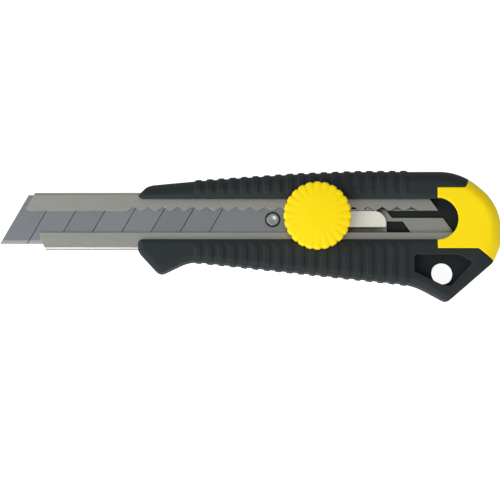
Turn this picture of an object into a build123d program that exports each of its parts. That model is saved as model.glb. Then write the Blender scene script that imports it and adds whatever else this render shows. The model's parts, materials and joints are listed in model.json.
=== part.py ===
from build123d import *
import math
import os

# A snap-off utility knife with a thumb-wheel blade lock, as an assembly of separate pieces.
#
# Lengths are in millimetres. The pieces are drawn in a working frame and moved once, at the end, so
# that the origin is at the middle of the underside:
#   X runs back along the tool, from 0 at the front end of the handle,
#   Y runs from the cutting edge to the spine of the blade, from 0 on the blade's centre line,
#   Z runs up through the thumb wheel, from 0 on the flat back that the knife lies on.

# ---------------------------------------------------------------- driving dimensions

# Snap-off blade
BLADE_LENGTH = 110.0
BLADE_WIDTH = 18.0
BLADE_THICK = 0.5
BLADE_REACH = 50.7  # from the handle's front end to the blade's tip, as stored
BLADE_SLANT = 30.0  # degrees between the score lines and the blade's width
FIRST_SEGMENT = 10.0
SEGMENT_PITCH = 10.7
SCORE_COUNT = 7
SCORE_WIDTH = 0.28
SCORE_DEPTH = 0.12
BEVEL_HEIGHT = 1.3
EDGE_FLAT = 0.04
BLADE_TAIL = 10.0  # from the hole's centre to the blade's rear end
BLADE_HOLE_R = 2.9
TAIL_CLIP = 4.0

# Folded steel channel that guides the blade
SHEET = 0.8
CHANNEL_GAP = 1.7  # from the floor to the underside of the lips
SPINE_CLEAR = 0.05
EDGE_CLEAR = 1.45
BEND_R = 1.0
LIP_EDGE_Y = 3.2  # toothed lip's edge
LOWER_LIP_Y = -4.85  # plain lip's edge
CHANNEL_BACK_Z = 8.6
CHANNEL_REACH = 37.8  # from the handle's front end to the top of the channel's front end
CHANNEL_END_X = 105.0  # rear end of the channel on its spine side
CHANNEL_END_SLANT = 36.3
CHANNEL_STOP = 1.6  # from the channel's rear end to the cap's rear part
LIP_CORNER_RUN = 0.7  # small corner cut at the front of the toothed lip
LIP_CORNER_RISE = 0.9
LOWER_LIP_SETBACK = 1.8  # of the plain lip's front end, behind the channel's reach
LOWER_FRONT = 2.1  # straight part of that front end
LOWER_CORNER_RUN = 2.2
TOOTH_PITCH = 5.35
TOOTH_DEPTH = 1.4
TOOTH_COUNT = 20
TOOTH_FLAT = 0.5
TOOTH_ROOT_R = 0.55
FIRST_TOOTH_X = -1.5
FLOOR_SLOT_X = 93.0
FLOOR_SLOT_LOW_Y = 0.7
FLOOR_SLOT_HIGH_Y = 3.3
CATCH_WINDOW_X = 91.1
CATCH_WINDOW_LENGTH = 5.9
CATCH_WINDOW_HIGH_Y = -0.6
CATCH_WINDOW_LOW_Y = -6.4

# Carrier that pulls the blade along, and its click spring
CARRIER_THICK = 0.7
SLIDE_CLEAR = 0.05
BLADE_PIN_R = 2.28
BLADE_PIN_DIMPLE_R = 1.4
BLADE_PIN_DIMPLE = 0.25
BED_WIDTH = 12.0
BED_LEAD = 5.6  # the carrier's reach in front of the blade pin
WING_LENGTH = 11.5
WING_SIDE_CLEAR = 0.25
TONGUE_LENGTH = 17.6
TONGUE_SIDE_CLEAR = 0.12
TONGUE_LOW_Y = -2.9
TONGUE_NOSE_R = 4.6
TAIL_GAP = 0.4  # from the blade's rear end to the carrier's first step
JOGGLE = 1.0
JOGGLE_LEAD = 0.2  # each joggle's upper corners stand this far in front of its lower ones
WING_CORNER_R = 1.5
TONGUE_LOW_CORNER_R = 0.6
TONGUE_RISE = 0.15  # of the tongue's underside above the lips' underside
PIN_PROUD = 0.15
PIN_CHAMFER = 0.2
SPRING_THICK = 0.4
SPRING_LENGTH = 12.5
SPRING_GAP = 0.15
SPRING_NOSE_WIDTH = 2.4
SPRING_FOOT_LENGTH = 4.2
SPRING_FOOT_WIDTH = 3.4
SPRING_RIVET_R = 0.8
SPRING_RIVET_HEAD_R = 1.3
SPRING_RIVET_HEAD = 0.35
SPRING_RIVET_EDGE = 0.4  # from the middle of the foot towards the front
SPRING_RIVET_RISE = 3.4  # from the toothed lip's edge
SPRING_FOOT_LAP = 0.6  # the foot's reach past the wings
SPRING_LEAF_LEAD = 0.1
SPRING_LEAF_LAP = 0.4  # the leaf's reach past its nose
SPRING_HEAD_CLEAR = 0.15
SPRING_NOSE_SHARE = 0.7  # of a tooth's depth
SPRING_NOSE_DROP = 0.1

# Stud, clamp plate, washer and wheel
STUD_LEAD = 4.75  # from the front of the carrier's wings to the stud
STUD_Y = 0.65
STUD_R = 2.0
STUD_HEAD_R = 3.2
STUD_HEAD = 0.55
STUD_LENGTH = 8.6  # above the carrier's wings
STUD_TIP = 0.5
STUD_GROOVES = 6
STUD_GROOVE_DEPTH = 0.15
STUD_GROOVE_HALF = 0.3
STUD_GROOVE_START = 0.75  # pitches below the chamfered tip
THREAD_PITCH = 0.8
THREAD_CLEAR = 0.05
CLAMP_THICK = 1.0
CLAMP_LENGTH = 15.0
CLAMP_SIDE_CLEAR = 0.4
CLAMP_CORNER_R = 2.5
CLAMP_LIFT_CLEAR = 0.02
WASHER_R = 5.0
WASHER_THICK = 0.35
WASHER_RISE = 0.35
INSERT_R = 3.7
INSERT_FLANGE_R = 4.6
INSERT_FLANGE = 0.9
INSERT_LENGTH = 7.0
INSERT_GROOVE = 0.4
INSERT_GROOVES = 3
HUB_R = 5.7
WHEEL_R = 12.3
WHEEL_THICK = 6.2
WHEEL_LOBES = 24
WHEEL_NOTCH_R = 0.6
WHEEL_NOTCH_DEPTH = 0.75
WHEEL_DOME = 0.6
WHEEL_EDGE_R = 0.9
WHEEL_OVER_HANDLE = 0.7
FLUTE_INNER_R = 7.2
FLUTE_DEPTH = 0.45
FLUTE_WIDTH = 1.3

# Handle: rigid core under a soft grip
HANDLE_THICK = 16.0
HANDLE_END_X = 132.8
# Corners of the outline and the radius of the arc that rounds each one
NOSE_CORNERS = [((0.0, 8.6), 2.4), ((3.9, 12.36), 6.0)]
SPINE_CORNERS = [((21.6, 14.0), 40.0), ((58.0, 16.55), 90.0), ((80.0, 17.4), 120.0)]
REAR_CORNERS = [((118.3, 17.5), 22.0), ((HANDLE_END_X, 5.0), 19.0), ((HANDLE_END_X, -9.4), 13.0)]
HEEL_CORNER = ((129.9, -15.9), 4.0)
UNDER_CORNERS = [
    ((113.1, -30.4), 2.6),  # lanyard corner
    ((100.9, -23.8), 25.0),
    ((19.0, -15.0), 14.0),
    ((7.8, -20.4), 2.9),  # finger guard
    ((0.0, -11.9), 2.4),
]
CORNER_ROUND = 2.2
SPINE_ROUND = 5.0
ROUND_MARGIN = 0.06  # the wide rounds start this far outside the flat faces
PAD_PROUD = 0.4  # the pad's height below the rigid core
SKIN = 2.0  # thickness of the soft grips
SKIN_BACK_Z = 3.0
SLOT_HIGH_Y = 7.3
SLOT_LOW_Y = -7.6
SLOT_BEVEL_WIDTH = 1.5
SLOT_BEVEL_DEPTH = 0.5
MOUTH_R = 1.7  # rounds the prongs' inner corners
RIB_PITCH = 4.18
RIB_WIDTH = 2.1
RIB_COUNT = 19
FIRST_RIB_X = 22.0
RIB_DEPTH = 0.45
CHAMBER_X = 12.0
CHAMBER_SIDE = 2.2  # ledge under each side of the channel
CHAMBER_BACK_Z = 2.6
CHAMBER_ROOF = 1.2
PAD_X = 24.0
PAD_LENGTH = 74.0
PAD_WIDTH = 22.0
PAD_DEPTH = 1.2
PAD_CORNER_R = 6.0
PAD_GROOVE_WIDTH = 1.0
PAD_GROOVE_DEPTH = 0.5
PAD_Y = -1.6

# Lanyard corner
LANYARD_R = 4.0
LANYARD_X = 111.3
LANYARD_Y = -19.8
LANYARD_WEB_LOW_Z = 5.6
LANYARD_WEB_HIGH_Z = 10.6
LANYARD_CORNER_R = 0.8
LANYARD_WALL_CLEAR = 0.15  # from the hole to the pocket's lower wall
LANYARD_WALL_FALL = 26.3  # degrees, of that wall
LANYARD_POCKET_X = 101.0
LANYARD_POCKET_Y = -13.3
LANYARD_POCKET_REAR = [(116.9, LANYARD_POCKET_Y), (122.2, -15.9), (114.3, -24.6)]
LANYARD_POCKET_LOW_X = 110.9

# Pull-off end cap
CAP_FRONT_X = 109.4
CAP_HIGH_Y = 11.45
CAP_LOW_Y = -10.9
CAP_SHOULDER_X = 119.6
CAP_ARC_R = 7.7
CAP_ROOF = 2.6
CAP_LEAN = 32.0  # degrees, at the shoulder on the spine side
CAP_WALL = 2.2
CAP_CLEAR = 0.1
CAP_TONGUE_LENGTH = 10.0
CAP_TONGUE_THICK = 1.6
CAP_TONGUE_WIDTH = 9.0
CAP_TONGUE_LIFT = 0.5  # above the chamber's floor
CAP_HEEL_RUN = 4.8
CAP_HEEL_FALL = 3.9

# ---------------------------------------------------------------- places worked out from them

SPINE_Y = BLADE_WIDTH / 2
CUTTING_Y = -BLADE_WIDTH / 2
TIP_X = -BLADE_REACH
SLANT = math.tan(math.radians(BLADE_SLANT))
BLADE_END_X = TIP_X + BLADE_LENGTH
PIN_X = BLADE_END_X - BLADE_TAIL

CHANNEL_HIGH_Y = SPINE_Y + SPINE_CLEAR + SHEET
CHANNEL_LOW_Y = CUTTING_Y - EDGE_CLEAR - SHEET
FLOOR_Z = CHANNEL_BACK_Z + SHEET
LIP_BACK_Z = FLOOR_Z + CHANNEL_GAP
LIP_Z = LIP_BACK_Z + SHEET
CHANNEL_END_RUN = math.tan(math.radians(CHANNEL_END_SLANT))

BED_Z = FLOOR_Z + SLIDE_CLEAR
BLADE_Z = BED_Z + CARRIER_THICK + SLIDE_CLEAR
WING_Z = LIP_BACK_Z - SLIDE_CLEAR - CARRIER_THICK
TONGUE_Z = LIP_BACK_Z + TONGUE_RISE
WING_X = BLADE_END_X + TAIL_GAP + JOGGLE
TONGUE_X = WING_X + WING_LENGTH + JOGGLE
TONGUE_END_X = TONGUE_X + TONGUE_LENGTH
TONGUE_HIGH_Y = LIP_EDGE_Y - TONGUE_SIDE_CLEAR
STUD_X = WING_X + STUD_LEAD

CLAMP_Z = LIP_Z + CLAMP_LIFT_CLEAR
WASHER_Z = CLAMP_Z + CLAMP_THICK
INSERT_Z = WASHER_Z + WASHER_THICK + WASHER_RISE
WHEEL_Z = HANDLE_THICK + WHEEL_OVER_HANDLE
WHEEL_TOP_Z = WHEEL_Z + WHEEL_THICK
CAP_ARM_Z = HANDLE_THICK - CAP_ROOF
BEYOND_X = HANDLE_END_X + 10  # cutters run this far, clear of the handle
BEYOND_Y = 60
PAST = 10

# ---------------------------------------------------------------- helpers


def box(x, y, z):
    """A block between the given (low, high) pairs."""
    return Pos((x[0] + x[1]) / 2, (y[0] + y[1]) / 2, (z[0] + z[1]) / 2) * Box(
        x[1] - x[0], y[1] - y[0], z[1] - z[0]
    )


def drum(x, y, radius, z):
    """An upright cylinder between two heights."""
    return Pos(x, y, (z[0] + z[1]) / 2) * Cylinder(radius, z[1] - z[0])


def plate(points, z):
    """A straight-sided outline, raised between two heights."""
    face = make_face(Polyline(*points, close=True))
    return Pos(0, 0, z[0]) * extrude(face, amount=z[1] - z[0], dir=(0, 0, 1))


def along_x(points, x):
    """An outline of (y, z) points, carried from one X to another."""
    face = make_face(Polyline(*[(x[0], y, z) for y, z in points], close=True))
    return extrude(face, amount=x[1] - x[0], dir=(1, 0, 0))


def along_y(points, y):
    """An outline of (x, z) points, carried from one Y to another."""
    face = make_face(Polyline(*[(px, y[0], pz) for px, pz in points], close=True))
    return extrude(face, amount=y[1] - y[0], dir=(0, 1, 0))


def turned(points, x, y):
    """An outline of (radius, z) points, turned about the upright axis through (x, y)."""
    face = make_face(Polyline(*[(r, 0, z) for r, z in points], close=True))
    return Pos(x, y, 0) * revolve(face, axis=Axis.Z)


def solids_of(shape):
    """The shape's solid, or a compound of its solids where it has more than one."""
    found = shape.solids()
    return found[0] if len(found) == 1 else Compound(children=list(found))


# ---------------------------------------------------------------- blade


def snap_blade():
    """The blade: a V-ground strip with a slanted front, score lines and a hole for the pin."""
    low, high = BLADE_Z, BLADE_Z + BLADE_THICK
    middle = (low + high) / 2
    bevel_y = CUTTING_Y + BEVEL_HEIGHT
    section = [
        (SPINE_Y, low),
        (SPINE_Y, high),
        (bevel_y, high),
        (CUTTING_Y, middle + EDGE_FLAT / 2),
        (CUTTING_Y, middle - EDGE_FLAT / 2),
        (bevel_y, low),
    ]
    strip = along_x(section, (TIP_X, BLADE_END_X))
    front = plate(
        [
            (TIP_X, CUTTING_Y),
            (TIP_X + BLADE_WIDTH * SLANT, SPINE_Y),
            (BLADE_END_X, SPINE_Y),
            (BLADE_END_X, CUTTING_Y + TAIL_CLIP),
            (BLADE_END_X - TAIL_CLIP, CUTTING_Y),
        ],
        (low - 1, high + 1),
    )
    blade = strip & front
    blade -= drum(PIN_X, 0, BLADE_HOLE_R, (low - 1, high + 1))
    for n in range(SCORE_COUNT):
        foot_x = TIP_X + FIRST_SEGMENT + n * SEGMENT_PITCH
        middle_x = foot_x + BLADE_WIDTH / 2 * SLANT
        groove = along_x(
            [(-SCORE_WIDTH / 2, 0), (SCORE_WIDTH / 2, 0), (0, -SCORE_DEPTH)],
            (-BLADE_WIDTH, BLADE_WIDTH),
        )
        blade -= Pos(middle_x, 0, high) * Rot(0, 0, 90 - BLADE_SLANT) * groove
    return solids_of(blade)


# ---------------------------------------------------------------- channel


def channel_plan(z):
    """The channel seen from above, with its angled front ends and its slanted rear end."""
    end_x = CAP_SHOULDER_X - CHANNEL_STOP
    end_y = CHANNEL_HIGH_Y - (end_x - CHANNEL_END_X) / CHANNEL_END_RUN
    lip_y = LIP_EDGE_Y + LIP_CORNER_RISE
    lip_x = -CHANNEL_REACH - (CHANNEL_HIGH_Y - lip_y) * SLANT
    low_x = -CHANNEL_REACH + LOWER_LIP_SETBACK
    return plate(
        [
            (-CHANNEL_REACH, CHANNEL_HIGH_Y),
            (lip_x, lip_y),
            (lip_x + LIP_CORNER_RUN, LIP_EDGE_Y),
            (low_x, LOWER_LIP_Y),
            (low_x, LOWER_LIP_Y - LOWER_FRONT),
            (low_x + LOWER_CORNER_RUN, CHANNEL_LOW_Y),
            (end_x, CHANNEL_LOW_Y),
            (end_x, end_y),
            (CHANNEL_END_X, CHANNEL_HIGH_Y),
        ],
        z,
    )


def tooth_gap(x):
    """One rounded notch of the toothed lip, as a cutter."""
    half = (TOOTH_PITCH - TOOTH_FLAT) / 2
    low = LIP_EDGE_Y - 1.0
    side = half * (1 + 1.0 / TOOTH_DEPTH)
    gap = plate(
        [(x - side, low), (x, LIP_EDGE_Y + TOOTH_DEPTH), (x + side, low)],
        (LIP_BACK_Z - 0.2, LIP_Z + 1),
    )
    root = gap.edges().filter_by(Axis.Z).sort_by(Axis.Y)[-1]
    return fillet(root, TOOTH_ROOT_R)


def blade_channel():
    """The folded steel channel: a floor, two walls and two lips, open towards +Z."""
    low, high = CHANNEL_LOW_Y, CHANNEL_HIGH_Y
    run = (-CHANNEL_REACH - 10, CHANNEL_END_X + 40)
    tube = box(run, (low, high), (CHANNEL_BACK_Z, LIP_Z))
    tube = fillet(tube.edges().filter_by(Axis.X), BEND_R)
    bore = box(run, (low + SHEET, high - SHEET), (FLOOR_Z, LIP_BACK_Z))
    bore = fillet(bore.edges().filter_by(Axis.X), BEND_R - SHEET)
    tube -= bore
    tube -= box(run, (LOWER_LIP_Y, LIP_EDGE_Y), (FLOOR_Z + 0.1, LIP_Z + 1))
    channel = tube & channel_plan((CHANNEL_BACK_Z - 1, LIP_Z + 1))
    for n in range(TOOTH_COUNT):
        channel -= tooth_gap(FIRST_TOOTH_X + n * TOOTH_PITCH)
    channel -= floor_slot((CHANNEL_BACK_Z - 1, FLOOR_Z + 0.1))
    channel -= catch_window((CHANNEL_BACK_Z - 1, FLOOR_Z + 0.1))
    return solids_of(channel)


def floor_slot(z):
    """The slot in the channel's floor, open to the rear."""
    low, high = FLOOR_SLOT_LOW_Y, FLOOR_SLOT_HIGH_Y
    lean = (high - low) * CHANNEL_END_RUN
    end = CHANNEL_END_X + (CHANNEL_HIGH_Y - CHANNEL_LOW_Y) * CHANNEL_END_RUN
    return plate([(FLOOR_SLOT_X, low), (FLOOR_SLOT_X - lean, high), (end, high), (end, low)], z)


def catch_window(z):
    """The window in the channel's floor."""
    low, high = CATCH_WINDOW_LOW_Y, CATCH_WINDOW_HIGH_Y
    lean = (high - low) * CHANNEL_END_RUN
    start = CATCH_WINDOW_X
    end = CATCH_WINDOW_X + CATCH_WINDOW_LENGTH
    return plate([(start, low), (start, high), (end, high), (end + lean, low)], z)


# ---------------------------------------------------------------- carrier


def blade_carrier():
    """A stepped strip: a bed under the blade, wings under the lips and a tongue in the slot."""
    start = PIN_X - BED_LEAD
    t = CARRIER_THICK
    bed_end = WING_X - JOGGLE
    wing_end = WING_X + WING_LENGTH
    side = [
        (start, BED_Z),
        (bed_end, BED_Z),
        (WING_X, WING_Z),
        (wing_end, WING_Z),
        (TONGUE_X, TONGUE_Z),
        (TONGUE_END_X, TONGUE_Z),
        (TONGUE_END_X, TONGUE_Z + t),
        (TONGUE_X - JOGGLE_LEAD, TONGUE_Z + t),
        (wing_end - JOGGLE_LEAD, WING_Z + t),
        (WING_X - JOGGLE_LEAD, WING_Z + t),
        (bed_end - JOGGLE_LEAD, BED_Z + t),
        (start, BED_Z + t),
    ]
    strip = along_y(side, (CHANNEL_LOW_Y, CHANNEL_HIGH_Y))
    z = (BED_Z - 1, TONGUE_Z + t + 1)
    bed = box((start, bed_end + JOGGLE + JOGGLE_LEAD), (-BED_WIDTH / 2, BED_WIDTH / 2), z)
    bed = fillet(bed.edges().filter_by(Axis.Z).group_by(Axis.X)[0], BED_WIDTH / 4)
    low = CHANNEL_LOW_Y + SHEET + WING_SIDE_CLEAR
    high = CHANNEL_HIGH_Y - SHEET - WING_SIDE_CLEAR
    wings = box((WING_X, wing_end - JOGGLE_LEAD), (low, high), z)
    wings = fillet(wings.edges().filter_by(Axis.Z), WING_CORNER_R)
    tongue = box((wing_end - 1, TONGUE_END_X), (TONGUE_LOW_Y, TONGUE_HIGH_Y), z)
    nose = tongue.edges().filter_by(Axis.Z).group_by(Axis.X)[-1].sort_by(Axis.Y)
    tongue = fillet(nose[-1], TONGUE_NOSE_R)
    low_nose = tongue.edges().filter_by(Axis.Z).group_by(Axis.X)[-1].sort_by(Axis.Y)
    tongue = fillet(low_nose[0], TONGUE_LOW_CORNER_R)
    carrier = strip & (bed + wings + tongue)
    carrier -= drum(PIN_X, 0, BLADE_PIN_R, z)
    carrier -= drum(STUD_X, STUD_Y, STUD_R, z)
    carrier -= drum(*spring_rivet_place(), SPRING_RIVET_R, z)
    return solids_of(carrier)


def blade_pin():
    """The pin through the blade's hole, pressed into the carrier, with a dimpled top."""
    top = BLADE_Z + BLADE_THICK + PIN_PROUD
    pin = drum(PIN_X, 0, BLADE_PIN_R, (BED_Z, top))
    pin = chamfer(pin.edges().group_by(Axis.Z)[-1], PIN_CHAMFER)
    dimple = turned(
        [
            (0, top + 0.1),
            (BLADE_PIN_DIMPLE_R, top + 0.1),
            (BLADE_PIN_DIMPLE_R, top),
            (0, top - BLADE_PIN_DIMPLE),
        ],
        PIN_X,
        0,
    )
    return solids_of(pin - dimple)


def lock_stud():
    """The stud: a flat head under the carrier's wings and a shank that the wheel screws down on."""
    top = WING_Z + CARRIER_THICK + STUD_LENGTH
    shank = drum(STUD_X, STUD_Y, STUD_R, (WING_Z - STUD_HEAD, top))
    shank = chamfer(shank.edges().group_by(Axis.Z)[-1], STUD_TIP)
    stud = shank + drum(STUD_X, STUD_Y, STUD_HEAD_R, (WING_Z - STUD_HEAD, WING_Z))
    for n in range(STUD_GROOVES):
        z = top - STUD_TIP - (n + STUD_GROOVE_START) * THREAD_PITCH
        r = STUD_R
        ring = [
            (r + 0.1, z - STUD_GROOVE_HALF),
            (r + 0.1, z + STUD_GROOVE_HALF),
            (r - STUD_GROOVE_DEPTH, z),
        ]
        stud -= turned(ring, STUD_X, STUD_Y)
    return solids_of(stud)


def spring_rivet_place():
    """Where the click spring's foot is riveted to the carrier's wings."""
    x = WING_X + WING_LENGTH - SPRING_FOOT_LENGTH / 2 - SPRING_RIVET_EDGE
    return x, LIP_EDGE_Y + SPRING_RIVET_RISE


def spring_nose_x():
    """The tooth gap nearest to the far end of the spring."""
    want = WING_X + WING_LENGTH + SPRING_LENGTH - SPRING_NOSE_WIDTH
    return FIRST_TOOTH_X + round((want - FIRST_TOOTH_X) / TOOTH_PITCH) * TOOTH_PITCH


def click_spring():
    """A leaf on edge whose nose clicks into the toothed lip, on a foot under the carrier's wings."""
    nose_x = spring_nose_x()
    wing_end = WING_X + WING_LENGTH
    leaf_low = LIP_EDGE_Y + SPRING_GAP
    leaf_high = leaf_low + SPRING_THICK
    base = WING_Z - SPRING_THICK
    foot_x = wing_end - SPRING_FOOT_LENGTH
    rivet_x, rivet_y = spring_rivet_place()
    foot = box(
        (foot_x, wing_end + SPRING_FOOT_LAP),
        (leaf_low, rivet_y + SPRING_FOOT_WIDTH / 2),
        (base, WING_Z),
    )
    leaf_end = nose_x + SPRING_NOSE_WIDTH / 2 + SPRING_LEAF_LAP
    leaf_top = LIP_BACK_Z - SPRING_HEAD_CLEAR
    leaf = box((wing_end + SPRING_LEAF_LEAD, leaf_end), (leaf_low, leaf_high), (base, leaf_top))
    half = SPRING_NOSE_WIDTH / 2
    nose = plate(
        [
            (nose_x - half, leaf_low),
            (nose_x, leaf_low + TOOTH_DEPTH * SPRING_NOSE_SHARE),
            (nose_x + half, leaf_low),
        ],
        (base, LIP_Z - SPRING_NOSE_DROP),
    )
    spring = foot + leaf + nose
    spring -= drum(rivet_x, rivet_y, SPRING_RIVET_R, (base - 1, WING_Z + 1))
    return solids_of(spring)


def spring_rivet():
    """The rivet that holds the click spring's foot under the wings."""
    x, y = spring_rivet_place()
    top = WING_Z + CARRIER_THICK
    low = WING_Z - SPRING_THICK
    shank = drum(x, y, SPRING_RIVET_R, (low - SPRING_RIVET_HEAD, top))
    head = drum(x, y, SPRING_RIVET_HEAD_R, (low - SPRING_RIVET_HEAD, low))
    return solids_of(shank + head)


# ---------------------------------------------------------------- clamp and wheel


def clamp_plate():
    """The plate that the wheel presses onto the channel's lips."""
    z = (CLAMP_Z, CLAMP_Z + CLAMP_THICK)
    body = box(
        (STUD_X - CLAMP_LENGTH / 2, STUD_X + CLAMP_LENGTH / 2),
        (SLOT_LOW_Y + CLAMP_SIDE_CLEAR, SLOT_HIGH_Y - CLAMP_SIDE_CLEAR),
        z,
    )
    body = fillet(body.edges().filter_by(Axis.Z), CLAMP_CORNER_R)
    body = chamfer(body.edges().group_by(Axis.Z)[-1], CLAMP_THICK / 4)
    return solids_of(body - drum(STUD_X, STUD_Y, STUD_R + THREAD_CLEAR, (z[0] - 1, z[1] + 1)))


def spring_washer():
    """A coned spring washer between the clamp plate and the wheel's insert."""
    inner = STUD_R + 4 * THREAD_CLEAR
    cone = [
        (inner, WASHER_Z + WASHER_RISE),
        (inner, WASHER_Z + WASHER_RISE + WASHER_THICK),
        (WASHER_R, WASHER_Z + WASHER_THICK),
        (WASHER_R, WASHER_Z),
    ]
    return solids_of(turned(cone, STUD_X, STUD_Y))


def insert_outline():
    """Half section of the brass insert, as (radius, z) points from the bore outwards."""
    bore = STUD_R + THREAD_CLEAR
    top = INSERT_Z + INSERT_LENGTH
    points = [(bore, INSERT_Z), (INSERT_FLANGE_R, INSERT_Z)]
    points += [(INSERT_FLANGE_R, INSERT_Z + INSERT_FLANGE), (INSERT_R, INSERT_Z + INSERT_FLANGE)]
    step = (INSERT_LENGTH - INSERT_FLANGE) / (2 * INSERT_GROOVES + 1)
    for n in range(INSERT_GROOVES):
        z = INSERT_Z + INSERT_FLANGE + (2 * n + 1) * step
        points += [
            (INSERT_R, z),
            (INSERT_R - INSERT_GROOVE, z),
            (INSERT_R - INSERT_GROOVE, z + step),
            (INSERT_R, z + step),
        ]
    return points + [(INSERT_R, top), (bore, top)]


def wheel_insert():
    """The threaded brass insert that the wheel is moulded round."""
    return solids_of(turned(insert_outline(), STUD_X, STUD_Y))


def wheel_blank():
    """The wheel before its notches and flutes: a disc with a domed top and a hub below."""
    hub_z = INSERT_Z + INSERT_FLANGE
    rim_z = WHEEL_TOP_Z - WHEEL_DOME
    shoulder_r = WHEEL_R - WHEEL_EDGE_R
    shoulder_z = rim_z + WHEEL_DOME * WHEEL_EDGE_R / WHEEL_R
    middle = WHEEL_EDGE_R * (1 - math.sqrt(0.5))
    rim_foot = WHEEL_EDGE_R / 2
    low = Polyline(
        (0, 0, hub_z),
        (HUB_R, 0, hub_z),
        (HUB_R, 0, WHEEL_Z),
        (WHEEL_R - rim_foot, 0, WHEEL_Z),
        (WHEEL_R, 0, WHEEL_Z + rim_foot),
        (WHEEL_R, 0, rim_z - WHEEL_EDGE_R),
    )
    edge = ThreePointArc(
        (WHEEL_R, 0, rim_z - WHEEL_EDGE_R),
        (WHEEL_R - middle, 0, rim_z - middle),
        (shoulder_r, 0, shoulder_z),
    )
    dome = ThreePointArc(
        (shoulder_r, 0, shoulder_z),
        (shoulder_r / 2, 0, WHEEL_TOP_Z - (WHEEL_TOP_Z - shoulder_z) / 4),
        (0, 0, WHEEL_TOP_Z),
    )
    axis = Line((0, 0, WHEEL_TOP_Z), (0, 0, hub_z))
    return revolve(make_face([low, edge, dome, axis]), axis=Axis.Z)


def wheel_flute():
    """One V-shaped flute from near the middle of the wheel's face out past its rim."""
    fall = math.degrees(math.atan2(WHEEL_DOME + FLUTE_DEPTH, WHEEL_R - FLUTE_INNER_R))
    half = FLUTE_WIDTH
    vee = [(-half, half), (half, half), (0, 0)]
    prism = along_x(vee, (0, WHEEL_R))
    return Pos(FLUTE_INNER_R, 0, WHEEL_TOP_Z - WHEEL_DOME / 3) * Rot(0, fall, 0) * prism


def lock_wheel():
    """The thumb wheel: a notched rim, a gently domed and fluted face, and a hub between the grips."""
    reach = WHEEL_R + WHEEL_NOTCH_R - WHEEL_NOTCH_DEPTH
    notch = drum(reach, 0, WHEEL_NOTCH_R, (WHEEL_Z - 1, WHEEL_TOP_Z + 1))
    cutters = []
    for n in range(WHEEL_LOBES):
        turn = Rot(0, 0, (n + 0.5) * 360 / WHEEL_LOBES)
        cutters += [turn * notch, turn * wheel_flute()]
    wheel = Pos(STUD_X, STUD_Y, 0) * (wheel_blank() - cutters)
    cavity_z = WING_Z + CARRIER_THICK + STUD_LENGTH + THREAD_PITCH
    insert = turned(insert_outline(), STUD_X, STUD_Y)
    hollow = drum(STUD_X, STUD_Y, STUD_R + 4 * THREAD_CLEAR, (INSERT_Z, cavity_z))
    return solids_of(wheel - (insert + hollow))


# ---------------------------------------------------------------- handle


def outline_face(corners):
    """A flat face bounded by straight runs, with an arc of its own radius at each corner."""
    ring = FilletPolyline(*[c for c, _ in corners], radius=[r for _, r in corners], close=True)
    return make_face(ring)


def handle_outline(grow=0.0):
    """The handle seen from above."""
    face = outline_face([*NOSE_CORNERS, *SPINE_CORNERS, *REAR_CORNERS, HEEL_CORNER, *UNDER_CORNERS])
    return offset(face, amount=grow) if grow else face


def barrel_outline(grow):
    """The same spine and rear end, on an outline that runs on past the nose and the heel."""
    (nose_x, nose_y), _ = NOSE_CORNERS[-1]
    (first_x, first_y), _ = SPINE_CORNERS[0]
    (rear_x, rear_y), _ = REAR_CORNERS[-1]
    (heel_x, heel_y), _ = HEEL_CORNER
    on = 2.0
    far_nose = (nose_x - on * (first_x - nose_x), nose_y - on * (first_y - nose_y))
    far_heel = (rear_x + 4 * on * (heel_x - rear_x), rear_y + 4 * on * (heel_y - rear_y))
    low_nose = (far_nose[0], far_heel[1])
    ends = [(far_heel, 1.0), (low_nose, 1.0), (far_nose, 1.0)]
    face = outline_face([*SPINE_CORNERS, *REAR_CORNERS, *ends])
    return offset(face, amount=grow) if grow else face


def raised(face, z):
    """A face raised between two heights."""
    return Pos(0, 0, z[0]) * extrude(face, amount=z[1] - z[0], dir=(0, 0, 1))


def rounded(face, z, radius):
    """A face raised between two heights, with the edges of both ends rounded."""
    body = raised(face, z)
    for end in (0, -1):
        rim = body.faces().filter_by(Axis.Z).sort_by(Axis.Z)[end].edges()
        body = fillet(rim, radius)
    return body


def handle_form(grow=0.0):
    """The handle's outer form: small rounds all over, wide ones along the spine and the rear end."""
    low, high = PAD_PROUD - grow, HANDLE_THICK + grow
    form = rounded(handle_outline(grow), (low, high), CORNER_ROUND + grow)
    past = (low - ROUND_MARGIN, high + ROUND_MARGIN)
    barrel = rounded(barrel_outline(grow + ROUND_MARGIN), past, SPINE_ROUND + grow)
    return form & barrel


def channel_tunnel():
    """The space that the channel fills, right through the handle."""
    return box(
        (-PAST, HANDLE_END_X),
        (CHANNEL_LOW_Y, CHANNEL_HIGH_Y),
        (CHANNEL_BACK_Z, LIP_Z),
    )


def front_slot():
    """The slot that the wheel's hub runs in, above the channel and on to the end cap."""
    slot = box((-PAST, CAP_FRONT_X), (SLOT_LOW_Y, SLOT_HIGH_Y), (FLOOR_Z, HANDLE_THICK + 2))
    slot += drum(CAP_FRONT_X, 0, CAP_ARC_R, (FLOOR_Z, HANDLE_THICK + 2))
    run = box((CAP_FRONT_X, HANDLE_END_X), (SLOT_LOW_Y, SLOT_HIGH_Y), (FLOOR_Z, CAP_ARM_Z))
    return slot + run


def chamber():
    """The hollow behind the channel, closed at the front and open to the end cap."""
    return box(
        (CHAMBER_X, HANDLE_END_X),
        (CHANNEL_LOW_Y + CHAMBER_SIDE, CHANNEL_HIGH_Y - CHAMBER_SIDE),
        (CHAMBER_BACK_Z, CHANNEL_BACK_Z - CHAMBER_ROOF),
    )


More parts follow.
